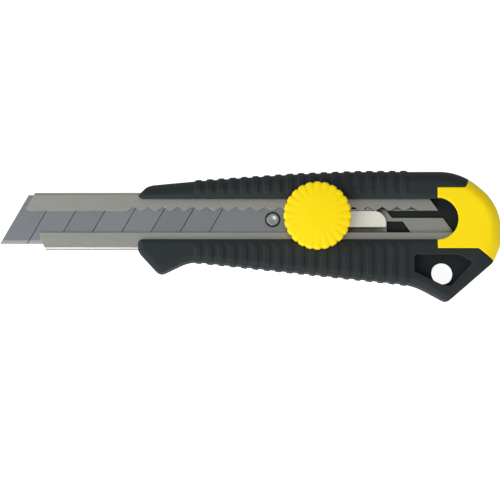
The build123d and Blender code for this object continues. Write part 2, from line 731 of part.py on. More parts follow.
def cap_regions(clear):
    """The end cap's share of the handle: a thin front part and the whole rear end, as cutters."""
    high, low = CAP_HIGH_Y + clear, CAP_LOW_Y - clear
    front, shoulder = CAP_FRONT_X - clear, CAP_SHOULDER_X - clear
    past = BEYOND_X
    top = past / 4
    heel_x = shoulder + CAP_HEEL_RUN
    slope = CAP_HEEL_FALL / CAP_HEEL_RUN
    z = (CAP_ARM_Z - clear, HANDLE_THICK + 2)
    arms = plate([(front, high), (shoulder + 2, high), (shoulder + 2, low), (front, low)], z)
    rear = plate(
        [
            (shoulder, high),
            (shoulder + (top - high) * math.tan(math.radians(CAP_LEAN)), top),
            (past, top),
            (past, low - (past - heel_x) * slope),
            (heel_x, low),
            (shoulder, low),
        ],
        (-1, HANDLE_THICK + 2),
    )
    return arms, rear


def lanyard_pocket():
    """Corners of the pocket; its lower wall passes just clear of the hole."""
    fall = math.radians(LANYARD_WALL_FALL)
    reach = (LANYARD_R + LANYARD_WALL_CLEAR) / math.cos(fall)
    low = [
        (x, LANYARD_Y - reach - (x - LANYARD_X) * math.tan(fall))
        for x in (LANYARD_POCKET_LOW_X, LANYARD_POCKET_X)
    ]
    return [(LANYARD_POCKET_X, LANYARD_POCKET_Y), *LANYARD_POCKET_REAR, *low]


def lanyard_corner():
    """Pockets on both faces of the rear corner, and the hole through the web between them."""
    cut = drum(LANYARD_X, LANYARD_Y, LANYARD_R, (-1, HANDLE_THICK + 1))
    for z in ((-1, LANYARD_WEB_LOW_Z), (LANYARD_WEB_HIGH_Z, HANDLE_THICK + 1)):
        pocket = plate(lanyard_pocket(), z)
        cut += fillet(pocket.edges().filter_by(Axis.Z), LANYARD_CORNER_R)
    return cut


def slot_edge(side, y):
    """One upper edge of the slot: a shallow bevel, and a round at the slot's mouth, as a cutter."""
    top = HANDLE_THICK + 2
    low = HANDLE_THICK - SLOT_BEVEL_DEPTH
    run = side * (top - low) * SLOT_BEVEL_WIDTH / SLOT_BEVEL_DEPTH
    bevel = along_x([(y - side, low), (y, low), (y + run, top), (y - side, top)], (-PAST, CAP_FRONT_X))
    outer = y + side * MOUTH_R
    across = (min(y, outer), max(y, outer))
    corner = box((-PAST, MOUTH_R), across, (LIP_Z, top))
    corner -= drum(MOUTH_R, outer, MOUTH_R, (LIP_Z - 1, top + 1))
    return bevel + corner


def slot_edges():
    """Both upper edges of the slot."""
    return slot_edge(1, SLOT_HIGH_Y) + slot_edge(-1, SLOT_LOW_Y)


def grip_place(side):
    """The block of space that one soft grip may fill: side is 1 for the spine, -1 for the edge."""
    past = BEYOND_X
    z = (SKIN_BACK_Z, HANDLE_THICK + 2)
    if side > 0:
        return box((-past, past), (SLOT_HIGH_Y, past), z)
    return box((-past, past), (-past, SLOT_LOW_Y), z)


def grip(side, form, cuts):
    """One soft grip: the handle's skin on that side, with ribs raised across it."""
    inner = raised(handle_outline(-SKIN), (-1, HANDLE_THICK - SKIN))
    place = grip_place(side)
    ribbed = handle_form(RIB_DEPTH)
    body = form & place
    for n in range(RIB_COUNT):
        x = FIRST_RIB_X + n * RIB_PITCH
        band = (x - RIB_WIDTH / 2, x + RIB_WIDTH / 2)
        body += ribbed & place & box(band, (-BEYOND_Y, BEYOND_Y), (-PAST, HANDLE_THICK + PAST))
    body = body - inner - channel_tunnel()
    for cut in cuts:
        body -= cut
    return body


def back_pad():
    """A soft pad let into the underside, with grooves across it."""
    half = PAD_WIDTH / 2
    pad = box(
        (PAD_X, PAD_X + PAD_LENGTH),
        (PAD_Y - half, PAD_Y + half),
        (0, PAD_PROUD + PAD_DEPTH),
    )
    return fillet(pad.edges().filter_by(Axis.Z), PAD_CORNER_R)


def grooved_pad():
    """The pad with its grooves."""
    pad = back_pad()
    count = round(PAD_LENGTH / (2 * RIB_PITCH)) - 1
    for n in range(count):
        x = PAD_X + (n + 1) * PAD_LENGTH / (count + 1)
        groove = (x - PAD_GROOVE_WIDTH / 2, x + PAD_GROOVE_WIDTH / 2)
        pad -= box(groove, (-BEYOND_Y, BEYOND_Y), (-1, PAD_GROOVE_DEPTH))
    return solids_of(pad)


def handle_core(form, upper, lower, cuts):
    """The rigid core: the whole form less the grips, the pad, the cap and every hollow."""
    core = form
    for cut in (upper, lower, back_pad(), *cuts, channel_tunnel(), front_slot(), chamber()):
        core -= cut
    return solids_of(core)


def end_cap(form):
    """The cap: two arms and a roof over the rear of the slot, a hollow rear end, and a tongue."""
    arms, rear = cap_regions(0.0)
    cap = form & (arms + rear)
    cap -= drum(CAP_FRONT_X, 0, CAP_ARC_R, (CAP_ARM_Z - 1, HANDLE_THICK + 1))
    hollow_z = (CHAMBER_BACK_Z, CAP_ARM_Z)
    hollow = raised(handle_outline(-CAP_WALL), hollow_z) & box(
        (CAP_FRONT_X, HANDLE_END_X), (CAP_LOW_Y + CAP_WALL, CAP_HIGH_Y - CAP_WALL), hollow_z
    )
    cap -= hollow
    tongue_z = CHAMBER_BACK_Z + CAP_TONGUE_LIFT
    tongue = box(
        (CAP_SHOULDER_X - CAP_TONGUE_LENGTH, HANDLE_END_X - CAP_WALL / 2),
        (-CAP_TONGUE_WIDTH / 2, CAP_TONGUE_WIDTH / 2),
        (tongue_z, tongue_z + CAP_TONGUE_THICK),
    )
    return solids_of(cap + chamfer(tongue.edges().group_by(Axis.X)[0], CAP_TONGUE_THICK / 4))


# ---------------------------------------------------------------- assembly


def assembly():
    """Every piece by name, in the working frame."""
    form = handle_form()
    cuts = [*cap_regions(CAP_CLEAR), slot_edges(), lanyard_corner()]
    upper, lower = grip(1, form, cuts), grip(-1, form, cuts)
    return {
        "handle_core": handle_core(form, upper, lower, cuts),
        "upper_grip": solids_of(upper),
        "lower_grip": solids_of(lower),
        "back_pad": grooved_pad(),
        "end_cap": end_cap(form),
        "blade_channel": blade_channel(),
        "snap_blade": snap_blade(),
        "blade_carrier": blade_carrier(),
        "blade_pin": blade_pin(),
        "lock_stud": lock_stud(),
        "click_spring": click_spring(),
        "spring_rivet": spring_rivet(),
        "clamp_plate": clamp_plate(),
        "spring_washer": spring_washer(),
        "wheel_insert": wheel_insert(),
        "lock_wheel": lock_wheel(),
    }


def home(pieces):
    """The move that puts the origin at the middle of the assembly's underside."""
    boxes = [piece.bounding_box() for piece in pieces.values()]
    low = [min(getattr(b.min, axis) for b in boxes) for axis in "XYZ"]
    high = [max(getattr(b.max, axis) for b in boxes) for axis in "XYZ"]
    return Pos(-(low[0] + high[0]) / 2, -(low[1] + high[1]) / 2, -low[2])


def main():
    pieces = assembly()
    move = home(pieces)
    os.makedirs("parts", exist_ok=True)
    for name, piece in pieces.items():
        export_step(move * piece, f"parts/{name}.step")
    place = move.position
    print(f"moved by {place.X:.4f} {place.Y:.4f} {place.Z:.4f}")


if __name__ == "__main__":
    main()
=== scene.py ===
"""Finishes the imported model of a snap-off utility knife: mouldings, wheel, steel and a studio."""

import json
import math

import bmesh
import bpy
from bpy.props import FloatProperty, FloatVectorProperty, IntProperty, PointerProperty
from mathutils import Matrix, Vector

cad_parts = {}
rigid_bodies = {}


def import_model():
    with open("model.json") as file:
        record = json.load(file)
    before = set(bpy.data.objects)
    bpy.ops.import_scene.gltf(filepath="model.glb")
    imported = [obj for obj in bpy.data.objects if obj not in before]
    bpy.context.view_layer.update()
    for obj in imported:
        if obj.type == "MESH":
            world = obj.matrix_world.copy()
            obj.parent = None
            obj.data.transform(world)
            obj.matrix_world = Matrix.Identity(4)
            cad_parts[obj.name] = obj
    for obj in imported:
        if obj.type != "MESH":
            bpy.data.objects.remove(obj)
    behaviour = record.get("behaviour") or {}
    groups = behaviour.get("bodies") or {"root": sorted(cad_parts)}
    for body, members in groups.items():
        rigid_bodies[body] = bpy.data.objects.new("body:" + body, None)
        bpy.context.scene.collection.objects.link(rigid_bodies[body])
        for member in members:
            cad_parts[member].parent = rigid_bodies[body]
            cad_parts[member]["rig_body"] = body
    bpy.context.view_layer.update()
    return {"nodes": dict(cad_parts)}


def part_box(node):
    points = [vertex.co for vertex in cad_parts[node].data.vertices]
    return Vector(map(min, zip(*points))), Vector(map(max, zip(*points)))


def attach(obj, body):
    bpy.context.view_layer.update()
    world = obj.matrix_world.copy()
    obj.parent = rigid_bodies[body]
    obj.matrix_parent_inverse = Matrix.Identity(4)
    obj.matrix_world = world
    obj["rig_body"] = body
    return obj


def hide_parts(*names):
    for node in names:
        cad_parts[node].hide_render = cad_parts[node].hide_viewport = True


bl_info = {
    "name": "Snap-off knife",
    "version": (1, 0, 0),
    "blender": (4, 5, 0),
    "location": "3D View > Sidebar > Knife",
    "description": "Shapes and finishes the pieces of a snap-off utility knife",
    "category": "Object",
}

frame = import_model()
NODES = frame["nodes"]

MM = 0.001
STANDARD_SCORE_SLANT = math.radians(30)
WELD = 0.002 * MM  # vertices nearer than this are joined
BRIGHT_SIDE = (-0.45, -0.89, 0.0)  # direction that most of the soft light comes from
SKY_HEIGHTS = (0.50, 1.0)  # the sky starts to dim at the first, and is dimmest at the second
SKY_TOP = 0.37  # its share of light straight above
SKY_SIDES = (-0.9, 0.9)
SKY_SHARES = (0.35, 1.55)  # of light from the dim side and the bright side
LIGHTS = (  # name, place, size, power
    ("key", (-0.35, -0.40, 0.80), 0.6, 3.2),
    ("side", (-0.75, 0.20, 0.35), 0.5, 1.2),
)
FLOOR_HALF = 4.0
FLOOR_DROP = 0.1 * MM  # the floor lies this far under the pad
CAMERA_TARGET = Vector((-0.12 * MM, -2.97 * MM, 10 * MM))

GROUND_STRIP = (1.2 * MM, 1.4 * MM)  # the blade's ground strip ends between these heights
GROUND_TONE = 0.72
SEGMENT_TONES = (0.95, 1.05)
# Share of the blade's colour left on the painted shade along each score line
SCORE_SHADE_TONE = 0.22
# The dark ring round the pin is painted shade in the gap between the blade's hole and the pin
GAP_SHADE_FADE = 0.2 * MM  # width over which the dark ring round the pin fades
GAP_SHADE_TONE = 0.03
# Share of the channel's colour left where its painted crevice shade is darkest
CREVICE_SHADE_TONE = 0.06

# Distances from the line between two lobes, as shares of a lobe, over which each shape fades out
NOTCH_FADE = (0.0, 0.30)
FLUTE_FADE = (0.0, 0.40)
# The flutes' deeper colour is painted shade in the grooves
FLUTE_SHADE_FADE = (0.02, 0.30)
FLUTE_SHADE = 0.55  # share of the flute's colour at the rim
NOTCH_RIM = (0.88, 0.985)  # the notches grow between these shares of the radius
FACE_BAND = (2.2 * MM, 1.2 * MM)  # depths below the wheel's top between which flutes start
FACE_RINGS = 26
EDGE_RINGS = 6
SIDE_RINGS = 8
FOOT_RINGS = 3
STEPS_PER_LOBE = 18

# An edge tone below 1 paints shade along the piece's sharp edges
SMALL_STEEL = (  # material, colour, roughness, bump and edge in mm, edge tone, pieces
    (
        "pin_steel",
        (0.60, 0.61, 0.63),
        0.24,
        0.004,
        0.12,
        0.4,
        ("blade_pin", "lock_stud", "spring_rivet"),
    ),
    ("spring_steel", (0.62, 0.62, 0.61), 0.28, 0.003, 0.06, 1.3, ("click_spring", "spring_washer")),
    ("clamp_steel", (0.60, 0.60, 0.57), 0.36, 0.004, 0.12, 1.3, ("clamp_plate",)),
)


# ---------------------------------------------------------------- sizes and colours


def length(name, description, default):
    """A length in metres that the panel can change."""
    return FloatProperty(
        name=name, description=description, default=default, min=0.0, precision=5, unit="LENGTH"
    )


def share(name, description, default):
    """A number from 0 to 1 that the panel can change."""
    return FloatProperty(name=name, description=description, default=default, min=0.0, max=1.0)


def whole(name, description, default, least=0):
    """A count that the panel can change."""
    return IntProperty(name=name, description=description, default=default, min=least)


def colour(name, description, default):
    """A linear colour that the panel can change."""
    return FloatVectorProperty(
        name=name,
        description=description,
        default=default,
        min=0.0,
        max=1.0,
        size=3,
        subtype="COLOR",
    )


class KnifeMouldings(bpy.types.PropertyGroup):
    """Sizes and colours of the moulded handle, grips and cap."""

    grip_cell: length("Grip cell", "Cell size that the grips are moulded at", 0.24 * MM)
    cap_cell: length("Cap cell", "Cell size that the cap is moulded at", 0.24 * MM)
    softening: whole("Softening", "Smoothing passes on moulded edges", 3)
    kept_share: share("Kept share", "Share of the moulded triangles that is kept", 0.45)
    grip_colour: colour("Grip colour", "Colour of the soft grips", (0.017, 0.0225, 0.0245))
    core_colour: colour("Core colour", "Colour of the rigid core", (0.013, 0.019, 0.021))
    cap_colour: colour("Cap colour", "Colour of the end cap", (0.96, 0.72, 0.001))


class KnifeWheel(bpy.types.PropertyGroup):
    """Sizes and colour of the thumb wheel."""

    lobes: whole("Lobes", "Lobes round the rim", 24, least=3)
    notch_depth: length("Notch depth", "Depth of the notch between two lobes", 0.42 * MM)
    flute_depth: length("Flute depth", "Depth of the flutes at the rim", 0.11 * MM)
    flute_start: length("Flute start", "Radius at which the flutes fade out", 5.6 * MM)
    rim_round: length("Rim round", "Radius of the rim's upper edge", 0.9 * MM)
    disc_thick: length("Disc thickness", "Thickness of the wheel's disc", 6.2 * MM)
    dome: length("Dome", "Rise of the wheel's face towards its middle", 0.6 * MM)
    hub_radius: length("Hub radius", "Outer radius of the hub below the disc", 5.7 * MM)
    bore_radius: length("Bore radius", "Radius of the hub's bore round the insert", 3.7 * MM)
    wheel_colour: colour("Wheel colour", "Colour of the wheel", (0.97, 0.74, 0.001))
    # The flute colour is painted shade that deepens the flutes
    flute_shade_colour: colour("Flute colour", "Colour that the flutes deepen to", (0.90, 0.60, 0.001))


class KnifeSteel(bpy.types.PropertyGroup):
    """Sizes and colours of the steel pieces."""

    channel_colour: colour("Channel colour", "Colour of the folded channel", (0.50, 0.50, 0.462))
    blade_colour: colour("Blade colour", "Colour of the blade", (0.315, 0.336, 0.358))
    # The carrier's near-white colour is partly plated steel and partly a painted bright reflection
    carrier_colour_and_sheen: colour("Carrier colour", "Colour of the plated carrier", (0.93, 0.91, 0.81))
    segment_pitch: length("Segment pitch", "Distance between score lines", 10.7 * MM)
    first_segment: length("First segment", "Length of the first segment at the edge", 10.0 * MM)
    score_width: length("Score width", "Width of the dark line along each score", 0.34 * MM)
    hole_radius: length("Hole radius", "Radius of the blade's hole round the pin", 2.9 * MM)
    # The crevice settings paint shade into the channel's colour by ambient occlusion
    crevice_reach: length("Crevice reach", "How far off neighbours darken the channel", 8.0 * MM)
    crevice_drop: length("Crevice drop", "Depth below its top where that starts", 0.95 * MM)
    crevice_dark: share("Crevice dark", "Open share at which the channel is darkest", 0.36)
    crevice_light: share("Crevice light", "Open share at which it has its full tone", 0.60)
    score_count: whole("Score count", "Number of score lines", 7)


class KnifeStage(bpy.types.PropertyGroup):
    """The camera, floor and lights."""

    view_width: length("View width", "Width of the view at the knife", 183.3 * MM)
    lens: FloatProperty(
        name="Lens", description="Focal length", default=200.0, min=10.0, unit="CAMERA"
    )
    lean: FloatProperty(
        name="Lean",
        description="How far the camera leans from straight above, towards the cutting edge",
        default=math.radians(4.5),
        unit="ROTATION",
    )
    floor_colour: colour("Floor colour", "Colour of the floor", (0.70, 0.70, 0.70))
    floor_glow: share("Floor glow", "Brightness that the floor adds to itself in view", 0.92)


# ---------------------------------------------------------------- node helpers


def put(tree, kind, **settings):
    """A node with its properties set, and its sockets set or linked by name or number."""
    node = tree.nodes.new(kind)
    sockets = settings.pop("sockets", {})
    for name, value in settings.items():
        setattr(node, name, value)
    for key, value in sockets.items():
        socket = node.inputs[key]
        if isinstance(value, bpy.types.NodeSocket):
            tree.links.new(value, socket)
        else:
            socket.default_value = value
    return node


def sum_of(tree, operation, *values):
    """The output of a maths node on up to three numbers or sockets."""
    sockets = dict(enumerate(values))
    return put(tree, "ShaderNodeMath", operation=operation, sockets=sockets).outputs[0]


def ramp(tree, value, start, end, low=0.0, high=1.0, style="SMOOTHSTEP"):
    """A value carried from one range to another, and held at its ends."""
    return put(
        tree,
        "ShaderNodeMapRange",
        interpolation_type=style,
        sockets={0: value, 1: start, 2: end, 3: low, 4: high},
    ).outputs[0]


def own_place(tree):
    """The point's place in the object, as (vector, X, Y, Z)."""
    at = put(tree, "ShaderNodeTexCoord").outputs["Object"]
    return (at, *put(tree, "ShaderNodeSeparateXYZ", sockets={0: at}).outputs)


def scaled(tree, base, level):
    """A colour times a number."""
    return put(
        tree, "ShaderNodeVectorMath", operation="SCALE", sockets={0: base, "Scale": level}
    ).outputs[0]


def blend_of(tree, factor, low, high):
    """A colour between two others."""
    return put(
        tree, "ShaderNodeMix", data_type="RGBA", sockets={"Factor": factor, 6: low, 7: high}
    ).outputs[2]


def polar(tree, at, centre):
    """Distance from an upright axis, turns round it, and the arm's X and Y."""
    arm = put(tree, "ShaderNodeVectorMath", operation="SUBTRACT", sockets={0: at, 1: centre})
    split = put(tree, "ShaderNodeSeparateXYZ", sockets={0: arm.outputs[0]})
    x, y = split.outputs[0], split.outputs[1]
    squares = sum_of(tree, "ADD", sum_of(tree, "MULTIPLY", x, x), sum_of(tree, "MULTIPLY", y, y))
    turns = sum_of(tree, "DIVIDE", sum_of(tree, "ARCTAN2", y, x), 2 * math.pi)
    return sum_of(tree, "SQRT", squares), turns, x, y


def from_line(tree, turns, lobes):
    """Distance from the nearest line between lobes: 0 on it, 0.5 half way to the next."""
    phase = sum_of(tree, "FRACT", sum_of(tree, "MULTIPLY", turns, lobes))
    return sum_of(tree, "ABSOLUTE", sum_of(tree, "SUBTRACT", phase, 0.5))


def new_group(name, kind, inputs, outputs):
    """A node group with the given sockets, as (tree, its input node, its output node)."""
    tree = bpy.data.node_groups.new(name, kind)
    for label, socket_type, default in inputs:
        socket = tree.interface.new_socket(label, in_out="INPUT", socket_type=socket_type)
        if default is not None:
            socket.default_value = default
    for label, socket_type in outputs:
        tree.interface.new_socket(label, in_out="OUTPUT", socket_type=socket_type)
    return tree, tree.nodes.new("NodeGroupInput"), tree.nodes.new("NodeGroupOutput")


def edge_tone_and_shade_group():
    """Rounded-edge normals, and a mask that is 1 along sharp edges."""
    tree, given, result = new_group(
        "edge_tone_and_shade",
        "ShaderNodeTree",
        [("Radius", "NodeSocketFloat", 0.25 * MM), ("Gain", "NodeSocketFloat", 3.0)],
        [("Mask", "NodeSocketFloat"), ("Normal", "NodeSocketVector")],
    )
    bevel = put(tree, "ShaderNodeBevel", samples=4, sockets={"Radius": given.outputs["Radius"]})
    true = put(tree, "ShaderNodeNewGeometry")
    facing = put(
        tree,
        "ShaderNodeVectorMath",
        operation="DOT_PRODUCT",
        sockets={0: bevel.outputs[0], 1: true.outputs["Normal"]},
    )
    turned = sum_of(tree, "SUBTRACT", 1.0, facing.outputs["Value"])
    mask = put(
        tree,
        "ShaderNodeMath",
        operation="MULTIPLY",
        use_clamp=True,
        sockets={0: turned, 1: given.outputs["Gain"]},
    )
    tree.links.new(mask.outputs[0], result.inputs["Mask"])
    tree.links.new(bevel.outputs[0], result.inputs["Normal"])
    return tree


def grain_group():
    """Noise stretched along the axes: a fine value for bump and a broad one for tone."""
    tree, given, result = new_group(
        "grain",
        "ShaderNodeTree",
        [
            ("Stretch", "NodeSocketVector", (1, 1, 1)),
            ("Fine", "NodeSocketFloat", 4000.0),
            ("Broad", "NodeSocketFloat", 60.0),
        ],
        [("Fine", "NodeSocketFloat"), ("Broad", "NodeSocketFloat")],
    )
    place = put(tree, "ShaderNodeTexCoord")
    stretched = put(
        tree,
        "ShaderNodeVectorMath",
        operation="MULTIPLY",
        sockets={0: place.outputs["Object"], 1: given.outputs["Stretch"]},
    )
    for name, detail in (("Fine", 3.0), ("Broad", 2.0)):
        noise = put(
            tree,
            "ShaderNodeTexNoise",
            sockets={"Vector": stretched.outputs[0], "Scale": given.outputs[name], "Detail": detail},
        )
        tree.links.new(noise.outputs[0], result.inputs[name])
    return tree


GROUPS = {}


def shared(name):
    """A shader group, built the first time it is asked for."""
    makers = {"edge_tone_and_shade": edge_tone_and_shade_group, "grain": grain_group}
    if name not in GROUPS:
        GROUPS[name] = makers[name]()
    return GROUPS[name]


# ---------------------------------------------------------------- materials


def shade(colour_value, factor):
    """A colour made lighter or darker."""
    return tuple(min(1.0, c * factor) for c in colour_value)


def finish(
    name,
    colour_value,
    roughness,
    metallic=0.0,
    spread=0.08,
    tone=0.12,
    stretch=(1, 1, 1),
    fine=4000.0,
    broad=60.0,
    bump=0.02 * MM,
    edge=0.25 * MM,
    edge_tone=1.3,
    specular=0.5,
    tint=None,
):
    """A finished surface: toned colour, grained roughness and bump, and softened edges whose colour
    is scaled by edge_tone: below 1 this paints shade along sharp edges, above 1 it lightens them.

    tint, if given, takes the tree and the colour so far and returns another colour socket.
    """
    material = bpy.data.materials.new(name)
    material.use_nodes = True
    tree = material.node_tree
    surface = tree.nodes["Principled BSDF"]
    grain = put(
        tree,
        "ShaderNodeGroup",
        node_tree=shared("grain"),
        sockets={"Stretch": stretch, "Fine": fine, "Broad": broad},
    )
    edge_group = put(tree, "ShaderNodeGroup", node_tree=shared("edge_tone_and_shade"), sockets={"Radius": edge})
    darker, lighter = ((*shade(colour_value, factor), 1) for factor in (1 - tone, 1 + tone))
    toned = blend_of(tree, grain.outputs["Broad"], darker, lighter)
    if tint:
        toned = tint(tree, toned)
    edge_toned_and_shaded = blend_of(tree, edge_group.outputs["Mask"], toned, (*shade(colour_value, edge_tone), 1))
    rough = put(
        tree,
        "ShaderNodeMapRange",
        sockets={0: grain.outputs["Fine"], 3: roughness - spread, 4: roughness + spread},
    )
    relief = put(
        tree,
        "ShaderNodeBump",
        sockets={
            "Strength": 1.0,
            "Distance": bump,
            "Height": grain.outputs["Fine"],
            "Normal": edge_group.outputs["Normal"],
        },
    )
    surface.inputs["Metallic"].default_value = metallic
    surface.inputs["Specular IOR Level"].default_value = specular
    tree.links.new(edge_toned_and_shaded, surface.inputs["Base Color"])
    tree.links.new(rough.outputs[0], surface.inputs["Roughness"])
    tree.links.new(relief.outputs[0], surface.inputs["Normal"])
    return material


def segment_tone_and_score_shade(look, blade):
    """Shifts each blade segment's tone a little, paints shade along the score lines, and darkens the
    ground strip.
    """
    low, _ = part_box(blade)

    def tint(tree, base):
        _, x, y, _ = own_place(tree)
        rise = sum_of(tree, "SUBTRACT", y, low.y)
        leant = sum_of(tree, "MULTIPLY", rise, math.tan(STANDARD_SCORE_SLANT))
        along = sum_of(tree, "SUBTRACT", x, leant)
        start = low.x + look.first_segment
        segments = sum_of(tree, "DIVIDE", sum_of(tree, "SUBTRACT", along, start), look.segment_pitch)
        count = sum_of(tree, "MINIMUM", sum_of(tree, "FLOOR", segments), look.score_count - 1.0)
        chance = put(tree, "ShaderNodeTexWhiteNoise", noise_dimensions="1D", sockets={"W": count})
        step = ramp(tree, chance.outputs["Value"], 0.0, 1.0, *SEGMENT_TONES, "LINEAR")
        nearest = sum_of(tree, "MINIMUM", sum_of(tree, "ROUND", segments), look.score_count - 1.0)
        away = sum_of(tree, "ABSOLUTE", sum_of(tree, "SUBTRACT", segments, nearest))
        half = look.score_width / look.segment_pitch / 2
        # painted shade along each score line
        line = ramp(tree, away, half * 0.7, half * 1.3, SCORE_SHADE_TONE, 1.0)
        ground = ramp(tree, rise, *GROUND_STRIP, GROUND_TONE, 1.0)
        level = sum_of(tree, "MULTIPLY", sum_of(tree, "MULTIPLY", step, ground), line)
        return scaled(tree, base, level)

    return tint


def pin_gap_painted_shade(look, axis):
    """Paints shade on the strip that shows in the gap between the blade's hole and the pin."""

    def tint(tree, base):
        r = polar(tree, own_place(tree)[0], axis)[0]
        level = ramp(tree, r, look.hole_radius, look.hole_radius + GAP_SHADE_FADE, GAP_SHADE_TONE, 1.0)
        return scaled(tree, base, level)

    return tint


def crevice_painted_shade(look, node):
    """Paints shade into a piece's colour where it lies below its top and deep between its
    neighbours, by ambient occlusion.
    """
    _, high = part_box(node)

    def tint(tree, base):
        open_share = put(
            tree, "ShaderNodeAmbientOcclusion", samples=8, sockets={"Distance": look.crevice_reach}
        ).outputs["AO"]
        level = ramp(tree, open_share, look.crevice_dark, look.crevice_light, CREVICE_SHADE_TONE, 1.0)
        above = sum_of(tree, "GREATER_THAN", own_place(tree)[3], high.z - look.crevice_drop)
        return scaled(tree, base, sum_of(tree, "MAXIMUM", level, above))

    return tint


def flute_painted_shade(look, centre, radius):
    """Paints shade into the wheel's colour along its flutes, more so towards the rim."""

    def tint(tree, base):
        r, turns, _, _ = polar(tree, own_place(tree)[0], centre)
        flute = ramp(tree, from_line(tree, turns, look.lobes), *FLUTE_SHADE_FADE, 1.0, 0.0)
        out = ramp(tree, r, look.flute_start, radius, 0.0, FLUTE_SHADE)
        return blend_of(tree, sum_of(tree, "MULTIPLY", flute, out), base, (*look.flute_shade_colour, 1))

    return tint


# ---------------------------------------------------------------- mesh helpers


def dress(node, material):
    """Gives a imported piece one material."""
    slots = NODES[node].data.materials
    slots.clear()
    slots.append(material)


def stand_for(piece, node, material):
    """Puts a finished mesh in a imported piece's place, on the same body."""
    piece.data.materials.clear()
    piece.data.materials.append(material)
    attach(piece, NODES[node]["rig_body"])
    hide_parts(node)


def new_object(name, mesh):
    """An object in the scene, at the origin."""
    piece = bpy.data.objects.new(name, mesh)
    bpy.context.scene.collection.objects.link(piece)
    return piece


def merged_copy(node, name):
    """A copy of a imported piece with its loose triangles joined."""
    mesh = NODES[node].data.copy()
    shape = bmesh.new()
    shape.from_mesh(mesh)
    bmesh.ops.remove_doubles(shape, verts=shape.verts, dist=WELD)
    shape.to_mesh(mesh)
    shape.free()
    return new_object(name, mesh)


def applied(piece):
    """Turns a piece's modifiers into plain mesh."""
    bpy.context.view_layer.update()
    depsgraph = bpy.context.evaluated_depsgraph_get()
    mesh = bpy.data.meshes.new_from_object(piece.evaluated_get(depsgraph))
    piece.modifiers.clear()
    piece.data = mesh
    return piece


def moulded(node, name, cell, passes, kept_share):
    """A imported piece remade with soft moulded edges, and thinned to a share of its triangles."""
    piece = merged_copy(node, name)
    remesh = piece.modifiers.new("mould", "REMESH")
    remesh.mode = "VOXEL"
    remesh.voxel_size = cell
    remesh.use_smooth_shade = True
    smooth = piece.modifiers.new("soften", "SMOOTH")
    smooth.factor = 0.5
    smooth.iterations = passes
    thin = piece.modifiers.new("thin", "DECIMATE")
    thin.ratio = kept_share
    return applied(piece)


# ---------------------------------------------------------------- wheel


def wheel_profile(look, low, high, radius):
    """Half section of the wheel as (radius, height) points, from its face's middle to its bore."""
    foot = look.rim_round / 2
    disc_z = high - look.disc_thick
    shoulder = radius - look.rim_round
    points = [(0.0, high)]
    for n in range(1, FACE_RINGS + 1):
        r = shoulder * n / FACE_RINGS
        points.append((r, high - look.dome * (r / radius) ** 2))
    edge_z = points[-1][1] - look.rim_round
    for n in range(1, EDGE_RINGS + 1):
        a = math.pi / 2 * (1 - n / EDGE_RINGS)
        out, up = look.rim_round * math.cos(a), look.rim_round * math.sin(a)
        points.append((shoulder + out, edge_z + up))
    for n in range(1, SIDE_RINGS + 1):
        points.append((radius, edge_z + (disc_z + foot - edge_z) * n / SIDE_RINGS))
    for n in range(1, FOOT_RINGS + 1):
        a = math.pi / 2 * n / FOOT_RINGS
        points.append((radius - foot + foot * math.cos(a), disc_z + foot - foot * math.sin(a)))
    return points + [(look.hub_radius, disc_z), (look.hub_radius, low), (look.bore_radius, low)]


def turned_mesh(name, points, centre, segments):
    """The section turned about an upright axis."""
    shape = bmesh.new()
    rings = []
    for r, z in points:
        ring = []
        for n in range(segments if r > 0 else 1):
            a = 2 * math.pi * n / segments
            ring.append(shape.verts.new((centre.x + r * math.cos(a), centre.y + r * math.sin(a), z)))
        rings.append(ring)
    for inner, outer in zip(rings, rings[1:]):
        for n in range(segments):
            m = (n + 1) % segments
            if len(inner) == 1:
                shape.faces.new((inner[0], outer[n], outer[m]))
            else:
                shape.faces.new((inner[n], outer[n], outer[m], inner[m]))
    if len(rings[-1]) > 1:
        shape.faces.new(list(reversed(rings[-1])))
    bmesh.ops.recalc_face_normals(shape, faces=shape.faces)
    mesh = bpy.data.meshes.new(name)
    shape.to_mesh(mesh)
    shape.free()
    return mesh


